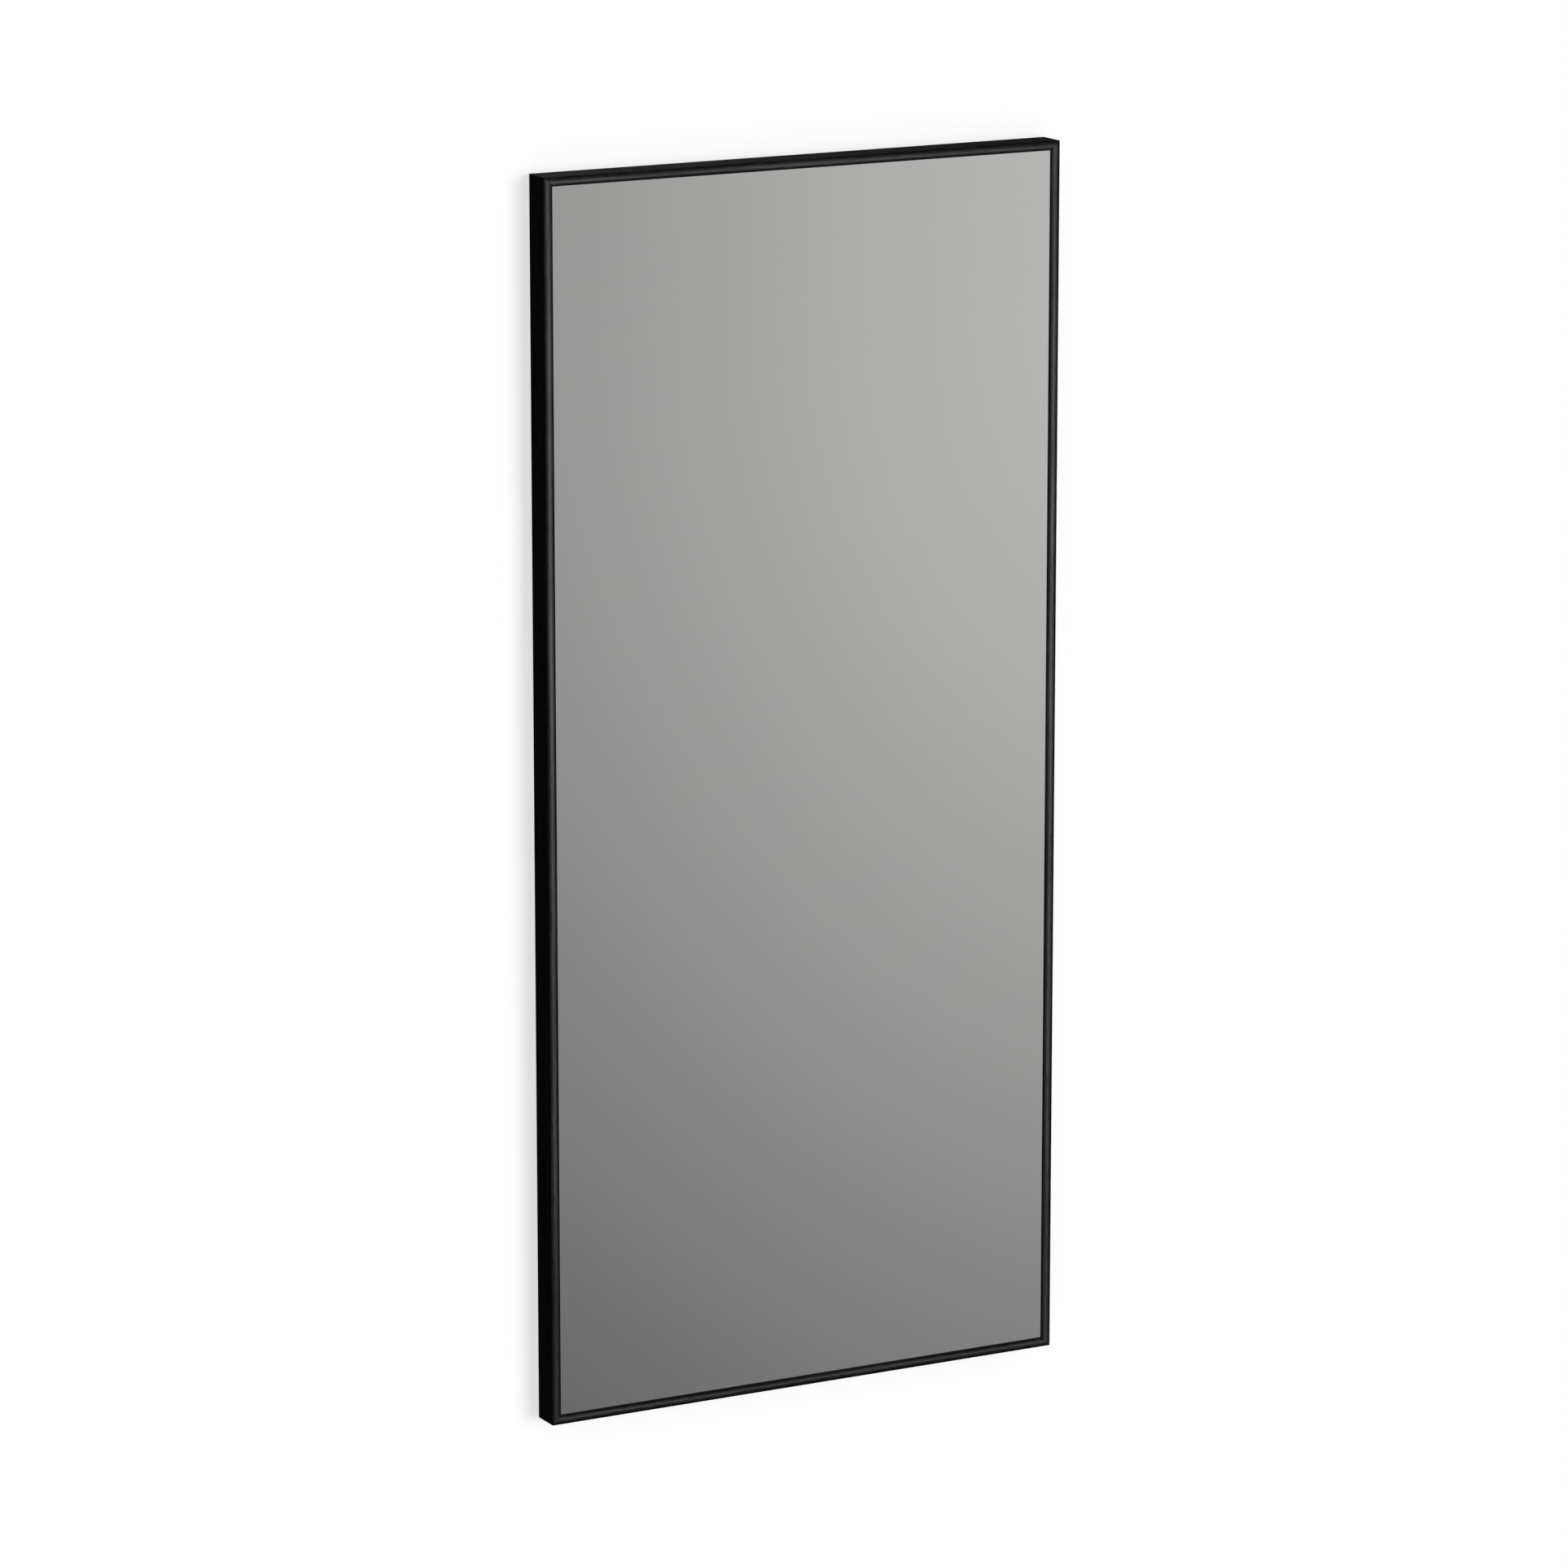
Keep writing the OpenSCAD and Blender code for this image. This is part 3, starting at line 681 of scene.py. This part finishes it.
def countersunk_screw(tree, inputs):
    """A strap screw: a countersunk head, a shank and a tapered cross."""
    # The head's sides slope by 45 degrees, and the shank starts inside the head
    head_height = add(tree, "ShaderNodeMath", [inputs["Head radius"], inputs["Shank radius"]],
                      operation="SUBTRACT")
    head = add(tree, "GeometryNodeMeshCone", {
        "Vertices": 72, "Radius Top": inputs["Head radius"],
        "Radius Bottom": inputs["Shank radius"], "Depth": head_height})
    shank = add(tree, "GeometryNodeMeshCylinder", {
        "Vertices": 48, "Radius": inputs["Shank radius"],
        "Depth": add(tree, "ShaderNodeMath", [inputs["Length"], 0.8], operation="MULTIPLY")})
    lowered = [add(tree, "GeometryNodeTransform", {
        "Geometry": part,
        "Translation": add(tree, "ShaderNodeVectorMath", {
            0: (0, 0, share), "Scale": size}, operation="SCALE")})
        for part, share, size in ((head, -1, head_height), (shank, -0.6, inputs["Length"]))]
    body = add(tree, "GeometryNodeMeshBoolean", {"Mesh": lowered},
               operation="UNION", solver="EXACT")
    # Two bars, centred on the head's face, narrow to a quarter at the bottom of the cross
    deep = add(tree, "ShaderNodeMath", [inputs["Cross depth"], 2], operation="MULTIPLY")
    place = add(tree, "GeometryNodeInputPosition")
    height = add(tree, "ShaderNodeSeparateXYZ", {"Vector": place}, "Z")
    share = add(tree, "ShaderNodeMath", [height, inputs["Cross depth"]], operation="DIVIDE")
    outward = add(tree, "ShaderNodeVectorMath", [place, (0.75, 0.75, 0)], operation="MULTIPLY")
    shift = add(tree, "ShaderNodeVectorMath", {0: outward, "Scale": share}, operation="SCALE")
    bars = [add(tree, "GeometryNodeSetPosition", {
        "Geometry": add(tree, "GeometryNodeMeshCube", {
            "Size": add(tree, "ShaderNodeCombineXYZ", [inputs[x], inputs[y], deep])}),
        "Offset": shift}) for x, y in (("Cross", "Slot"), ("Slot", "Cross"))]
    cross = add(tree, "GeometryNodeMeshBoolean", {"Mesh": bars},
                operation="UNION", solver="EXACT")
    return add(tree, "GeometryNodeMeshBoolean", {"Mesh 1": body, "Mesh 2": [cross]},
               solver="EXACT")


def slotted_set_screw(tree, inputs):
    """A set screw: a pin with an eased end and a slot."""
    # The bar is twice as long as the pin is wide, and half of its height cuts into the pin
    bar = add(tree, "ShaderNodeVectorMath", [
        add(tree, "ShaderNodeCombineXYZ", [inputs["Radius"], inputs["Slot"], inputs["Slot"]]),
        (4, 1, 2)], operation="MULTIPLY")
    raised = add(tree, "GeometryNodeTransform", {
        "Geometry": add(tree, "GeometryNodeMeshCube", {"Size": bar}),
        "Translation": add(tree, "ShaderNodeCombineXYZ", {"Z": inputs["Height"]})})
    return add(tree, "GeometryNodeMeshBoolean", {
        "Mesh 1": turned(tree, inputs, 3), "Mesh 2": [raised]}, solver="EXACT")


def bowed_clip(tree, inputs):
    """A strip with eased edges bent to an arc, its crown at zero."""
    arc = add(tree, "GeometryNodeCurveArc", {
        "Resolution": 41, "Radius": inputs["Middle radius"],
        "Start Angle": inputs["Start"], "Sweep Angle": inputs["Sweep"]}, mode="RADIUS")
    strip = add(tree, "GeometryNodeFilletCurve", {
        "Curve": add(tree, "GeometryNodeCurvePrimitiveQuadrilateral", {
            "Width": inputs["Strip"], "Height": inputs["Width"]}, mode="RECTANGLE"),
        "Radius": inputs["Ease"], "Count": 3}, mode="POLY")
    bent = add(tree, "GeometryNodeCurveToMesh", {
        "Curve": add(tree, "GeometryNodeSetCurveNormal", {"Curve": arc}, mode="Z_UP"),
        "Profile Curve": strip, "Fill Caps": True})
    return add(tree, "GeometryNodeTransform", {
        "Geometry": bent,
        "Translation": add(tree, "ShaderNodeCombineXYZ", {"Y": inputs["Radius"]})})


def dished_bumper(tree, inputs):
    """A rubber disc with a rounded rim and a shallow dish in its face."""
    dish = add(tree, "GeometryNodeTransform", {
        "Geometry": add(tree, "GeometryNodeMeshUVSphere", {
            "Segments": 72, "Rings": 60, "Radius": inputs["Ball"]}),
        "Translation": add(tree, "ShaderNodeCombineXYZ", {"Z": inputs["Ball height"]})})
    return add(tree, "GeometryNodeMeshBoolean", {
        "Mesh 1": turned(tree, inputs, 10), "Mesh 2": [dish]}, solver="EXACT")


# Steps


class BuildMembers(bpy.types.Operator):
    """Build the two stiles and two rails"""
    bl_idname = "mirror.members"
    bl_label = "Frame members"

    def execute(self, context):
        material = brushed_black_aluminium(context.scene.mirror_colours)
        for side in SIDES:
            member = frame_member(side, context.scene.mirror_section, material)
            keep_piece(member, "black_anodised", MEMBERS[side])
        return {"FINISHED"}


class FinishGlass(bpy.types.Operator):
    """Finish the glass and the sheets behind it"""
    bl_idname = "mirror.glass"
    bl_label = "Glass and backing"

    def execute(self, context):
        for name, finish in (
                ("mirror_glass", silvered_float_glass),
                ("silver_coating", silver_and_backing_paint),
                ("safety_film", woven_safety_film),
                ("foam_sheet", closed_cell_foam),
                ("backing_board", pressed_hardboard),
                ("glazing_tape", black_foam_tape)):
            finish_node(name, finish(context.scene.mirror_colours))
        return {"FINISHED"}


class BuildClips(bpy.types.Operator):
    """Bend the clips that press on the backing board"""
    bl_idname = "mirror.clips"
    bl_label = "Spring clips"

    def execute(self, context):
        hardware = context.scene.mirror_hardware
        middle = slot_middle(context.scene.mirror_section)
        places, turns = [], []
        for quarter, side in enumerate(SIDES):
            count = hardware.rail_clips if side in RAILS else hardware.stile_clips
            span = length_of(side) - 2 * hardware.clip_margin
            for i in range(count):
                along = span * (i / (count - 1) - 0.5)
                places.append(side_place(side) @ Vector((along, BOARD_BACK, middle)))
                turns.append(-math.pi / 2 * quarter)
        rise, strip = SHELF - BOARD_BACK, hardware.clip_strip
        radius = (hardware.clip_length ** 2 / 4 + rise ** 2) / (2 * rise)
        sweep = 2 * math.acos((radius - rise) / (radius - strip))
        sizes = {
            "Radius": radius, "Middle radius": radius - strip / 2, "Sweep": sweep,
            "Start": -sweep / 2 - math.pi / 2, "Width": hardware.clip_width, "Strip": strip,
            "Ease": 0.35 * strip}
        clips = repeated("bowed_clips", bowed_clip, sizes, places,
                         blued_spring_steel(context.scene.mirror_colours), turns=turns)
        keep_piece(clips, "spring_steel", "spring_clips")
        return {"FINISHED"}


class BuildCornerJoints(bpy.types.Operator):
    """Finish the corner keys and shims, and cut their set screws"""
    bl_idname = "mirror.corners"
    bl_label = "Corner joints"

    def execute(self, context):
        colours = context.scene.mirror_colours
        hardware = context.scene.mirror_hardware
        zinc = zinc_plated_pressing(colours)
        for corner in CORNERS:
            finish_node("corner_key_" + corner, zinc)
            finish_node("corner_shim_" + corner, zinc)
        low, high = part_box("corner_screws")
        middle = slot_middle(context.scene.mirror_section)
        places = []
        for side in SIDES:
            start = -length_of(side) / 2
            for far in (hardware.key_near, hardware.key_far):
                for along, inward in ((far, middle), (middle, far)):
                    places.append(side_place(side) @ Vector(
                        (start + along, low.y - CREST, inward)))
        sizes = {
            "Radius": hardware.set_screw / 2, "Height": high.y - low.y,
            "Rim": hardware.set_screw_ease, "Slot": hardware.driver_slot, "Seed": hardware.seed}
        screws = repeated("key_set_screws", slotted_set_screw, sizes, places,
                          blackened_steel(colours), TOWARDS_WALL)
        keep_piece(screws, "black_screw", "corner_screws")
        return {"FINISHED"}


class BuildHangers(bpy.types.Operator):
    """Finish the straps, rings and nut plates, and cut the strap screws"""
    bl_idname = "mirror.hangers"
    bl_label = "Hangers"

    def execute(self, context):
        colours = context.scene.mirror_colours
        hardware = context.scene.mirror_hardware
        zinc = zinc_plated_pressing(colours)
        wire = bright_plated_wire(colours)
        places = []
        for side in SIDES:
            finish_node("hanger_strap_" + side, zinc)
            finish_node("nut_plate_" + side, zinc)
            finish_node("hanger_ring_" + side, wire)
            # The nut plate lies under both screws and is as long beyond them on either side
            low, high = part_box("nut_plate_" + side)
            along = Vector((1, 0, 0)) if side in RAILS else Vector((0, 0, 1))
            for way in (-0.5, 0.5):
                place = (low + high) / 2 + along * way * hardware.strap_pitch
                place.y = CREST + LEDGE + hardware.strap
                places.append(place)
        sizes = {
            "Head radius": hardware.head / 2, "Shank radius": hardware.shank / 2,
            "Length": hardware.screw_length, "Cross": hardware.cross,
            "Cross depth": hardware.cross_depth, "Slot": hardware.driver_slot,
            "Seed": hardware.seed}
        screws = repeated("strap_screws", countersunk_screw, sizes, places, wire, TOWARDS_WALL)
        keep_piece(screws, "bright_wire", "hanger_screws")
        return {"FINISHED"}


class BuildBumpers(bpy.types.Operator):
    """Mould the four wall bumpers"""
    bl_idname = "mirror.bumpers"
    bl_label = "Wall bumpers"

    def execute(self, context):
        hardware = context.scene.mirror_hardware
        middle = slot_middle(context.scene.mirror_section)
        places = [side_place(side) @ Vector((middle - length_of(side) / 2, LEDGE, middle))
                  for side in SIDES]
        low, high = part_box("wall_bumpers")
        height, ball = high.y - low.y, 0.6 * hardware.bumper
        sizes = {
            "Radius": hardware.bumper / 2, "Height": height, "Rim": hardware.bumper_rim,
            "Ball": ball, "Ball height": height + ball - hardware.bumper_dish,
            "Seed": hardware.seed}
        bumpers = repeated("rubber_bumpers", dished_bumper, sizes, places,
                           moulded_rubber(context.scene.mirror_colours), TOWARDS_WALL)
        keep_piece(bumpers, "rubber", "wall_bumpers")
        return {"FINISHED"}


# Studio


def seen_from(azimuth, elevation):
    """The direction from the mirror towards a place round it. Azimuth 0 is in front."""
    return Vector((
        math.sin(azimuth) * math.cos(elevation),
        -math.cos(azimuth) * math.cos(elevation),
        math.sin(elevation)))


def white_stage(name, colour, glow, fade):
    """Pale matt board that only the camera sees, and only its front. It keeps shadows near
    the mirror and turns plain white between the fade's two distances from the frame."""
    made, tree = material_tree(name + "_matt_white")
    place = add(tree, "ShaderNodeSeparateXYZ", {
        "Vector": add(tree, "ShaderNodeTexCoord", out="Object")}).node
    beyond = []
    for axis, half in (("X", WIDTH / 2), ("Z", HEIGHT / 2)):
        away = add(tree, "ShaderNodeMath", [place.outputs[axis]], operation="ABSOLUTE")
        beyond.append(add(tree, "ShaderNodeMath", [away, half], operation="SUBTRACT"))
    plain = add(tree, "ShaderNodeMapRange", {
        "Value": add(tree, "ShaderNodeMath", beyond, operation="MAXIMUM"),
        "From Min": fade[0], "From Max": fade[1]}, interpolation_type="SMOOTHSTEP")
    matt = add(tree, "ShaderNodeAddShader", [
        add(tree, "ShaderNodeBsdfDiffuse", {"Color": linear(colour)}),
        add(tree, "ShaderNodeEmission", {"Strength": glow})])
    front = add(tree, "ShaderNodeMixShader", [
        plain, matt, add(tree, "ShaderNodeEmission", {"Strength": 1})])
    seen = add(tree, "ShaderNodeMath", [
        add(tree, "ShaderNodeLightPath", out="Is Camera Ray"),
        add(tree, "ShaderNodeNewGeometry", out="Backfacing")],
        operation="SUBTRACT", use_clamp=True)
    add(tree, "ShaderNodeOutputMaterial", {"Surface": add(tree, "ShaderNodeMixShader", [
        seen, add(tree, "ShaderNodeBsdfTransparent"), front])})
    return made


def stage_sheet(name, corners, colour, glow, fade):
    """A flat sheet of that board for the wall or the floor."""
    mesh = bpy.data.meshes.new(name)
    mesh.from_pydata(corners, [], [(0, 1, 2, 3)])
    mesh.materials.append(white_stage(name, colour, glow, fade))
    sheet = placed_object(name, mesh)
    return sheet


def lamp(name, power, azimuth, elevation, distance=1.0, aim=0.0, kind="AREA", **settings):
    """A lamp that the camera doesn't see, placed by its angles in degrees. It faces the
    mirror's middle at the height aim."""
    light = bpy.data.lights.new(name, kind)
    light.energy = power
    for setting, value in settings.items():
        setattr(light, setting, value)
    made = placed_object(name, light)
    made.location = seen_from(math.radians(azimuth), math.radians(elevation)) * distance
    away = made.location - Vector((0, 0, aim))
    made.rotation_euler = away.to_track_quat("Z", "Y").to_euler()
    made.visible_camera = False
    return made


def limit_lamp(made, objects, state):
    """Lets a lamp light only these objects, or with EXCLUDE everything but them."""
    group = bpy.data.collections.new("linked_to_" + made.name)
    for each in objects:
        group.objects.link(each)
    made.light_linking.receiver_collection = group
    for link in group.collection_objects:
        link.light_linking.link_state = state


# The studio that gloss sees, as factors of its palest level. Each is a direction, two cosines
# of the angle between it and a ray, and the level at the first, which climbs to 1 at the other.
GLOSS_FACTORS = (
    ((-0.259, -0.966, 0), -0.2, 0.9, 0.03),  # Palest in front, nearly black behind
    ((0.881, 0.474, 0), -0.08, 0.06, 0.5),  # Dimmer to the left
    ((0.104, -0.193, 0.976), -0.16, 0.06, 0.27),  # Dim floor
    ((0, 0, -1), -0.75, -0.1, 0.15),  # Dim ceiling
)


def studio_world(ambient, gloss_level):
    """White for the camera, an even light for matt faces, and a soft grey studio for gloss."""
    world = bpy.data.worlds.new("studio")
    world.use_nodes = True
    tree = world.node_tree
    tree.nodes.clear()
    direction = add(tree, "ShaderNodeTexCoord", out="Generated")
    for towards, start, end, least in GLOSS_FACTORS:
        cosine = add(tree, "ShaderNodeVectorMath", [direction, towards], "Value",
                     operation="DOT_PRODUCT")
        factor = add(tree, "ShaderNodeMapRange", {
            "Value": cosine, "From Min": start, "From Max": end, "To Min": least},
            interpolation_type="SMOOTHSTEP")
        gloss_level = add(tree, "ShaderNodeMath", [gloss_level, factor], operation="MULTIPLY")
    gloss, matt, plain = [add(tree, "ShaderNodeBackground", {
        "Color": linear(colour), "Strength": strength}) for colour, strength in (
            ("#FFFFFD", gloss_level), ("#FFFFFF", ambient), ("#FFFFFF", 1))]
    path = add(tree, "ShaderNodeLightPath").node
    other = add(tree, "ShaderNodeMixShader", [path.outputs["Is Glossy Ray"], matt, gloss])
    add(tree, "ShaderNodeOutputWorld", {"Surface": add(tree, "ShaderNodeMixShader", [
        path.outputs["Is Camera Ray"], other, plain])})
    bpy.context.scene.world = world


class BuildStudio(bpy.types.Operator):
    """Set up the camera, lamps, world, wall and floor"""
    bl_idname = "mirror.studio"
    bl_label = "Studio"

    def execute(self, context):
        scene = context.scene
        studio = scene.mirror_studio
        towards = seen_from(studio.azimuth, studio.elevation)
        right = Vector((math.cos(studio.azimuth), math.sin(studio.azimuth), 0))
        above = towards.cross(right)
        bead_edge = Vector((0, CREST + scene.mirror_section.bead_rise, 0))
        camera = placed_object("camera", bpy.data.cameras.new("camera"))
        camera.data.lens = studio.lens
        camera.data.sensor_width = 36
        camera.location = (bead_edge + towards * studio.distance + right * studio.aside
                           + above * studio.raised)
        camera.rotation_euler = towards.to_track_quat("Z", "Y").to_euler()
        scene.camera = camera

        # Aimed high, the key lamp leaves the bottom rail dimmer than the top one
        key = lamp("key_lamp", studio.key_power, azimuth=6, elevation=-7, distance=2.9, aim=0.7,
                   shape="RECTANGLE", size=3.2, size_y=1.2, spread=math.radians(88))
        lamp("top_lamp", studio.top_power, azimuth=205, elevation=70, distance=2.5,
             shape="RECTANGLE", size=1.6, size_y=1.2)
        lamp("rear_lamp", studio.rear_power, azimuth=152, elevation=-20, distance=3.0,
             shape="RECTANGLE", size=2.8, size_y=2.0)

        # The wall stands a hair behind the bumpers, so that no two faces lie in one plane
        half = studio.stage_size
        back = HIGH.y + 0.3 * MM
        down = LOW.z - studio.floor_drop
        wall = stage_sheet("wall", [
            (-half, back, down), (half, back, down), (half, back, half), (-half, back, half)],
            studio.stage, studio.wall_glow, fade=(0.03, 0.1))
        stage_sheet("floor", [
            (-half, -half, down), (half, -half, down), (half, half, down), (-half, half, down)],
            studio.stage, studio.floor_glow, fade=(0.5, 2.0))

        # The mirror shows the soft grey studio and not the key lamp. The wall has a lamp of its
        # own, far off and wide, for the soft shadow at the frame's left.
        limit_lamp(key, (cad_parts["mirror_glass"], wall), "EXCLUDE")
        own = lamp("wall_lamp", studio.wall_power, azimuth=25, elevation=4, kind="SUN",
                   angle=math.radians(30))
        limit_lamp(own, (wall,), "INCLUDE")
        studio_world(studio.ambient, studio.gloss)
        scene.view_settings.view_transform = "Standard"
        return {"FINISHED"}


SETTINGS = {
    "mirror_section": MirrorSection,
    "mirror_hardware": MirrorHardware,
    "mirror_colours": MirrorColours,
    "mirror_studio": MirrorStudio,
}
STEPS = (BuildMembers, FinishGlass, BuildClips, BuildCornerJoints, BuildHangers, BuildBumpers,
         BuildStudio)


class MirrorPanel(bpy.types.Panel):
    """Sizes, colours and steps of the wall mirror"""
    bl_idname = "MIRROR_PT_panel"
    bl_label = "Wall mirror"
    bl_space_type = "VIEW_3D"
    bl_region_type = "UI"
    bl_category = "Mirror"

    def draw(self, context):
        for step in STEPS:
            self.layout.operator(step.bl_idname)
        for name, group in SETTINGS.items():
            box = self.layout.box()
            box.label(text=group.__doc__)
            for field in group.__annotations__:
                box.prop(getattr(context.scene, name), field)


def register():
    for name, group in SETTINGS.items():
        bpy.utils.register_class(group)
        setattr(bpy.types.Scene, name, PointerProperty(type=group))
    for each in (*STEPS, MirrorPanel):
        bpy.utils.register_class(each)


def unregister():
    for each in (MirrorPanel, *reversed(STEPS)):
        bpy.utils.unregister_class(each)
    for name, group in reversed(SETTINGS.items()):
        delattr(bpy.types.Scene, name)
        bpy.utils.unregister_class(group)


def main():
    register()
    bpy.ops.mirror.members()
    bpy.ops.mirror.glass()
    bpy.ops.mirror.clips()
    bpy.ops.mirror.corners()
    bpy.ops.mirror.hangers()
    bpy.ops.mirror.bumpers()
    bpy.ops.mirror.studio()


if __name__ == "__main__":
    main()
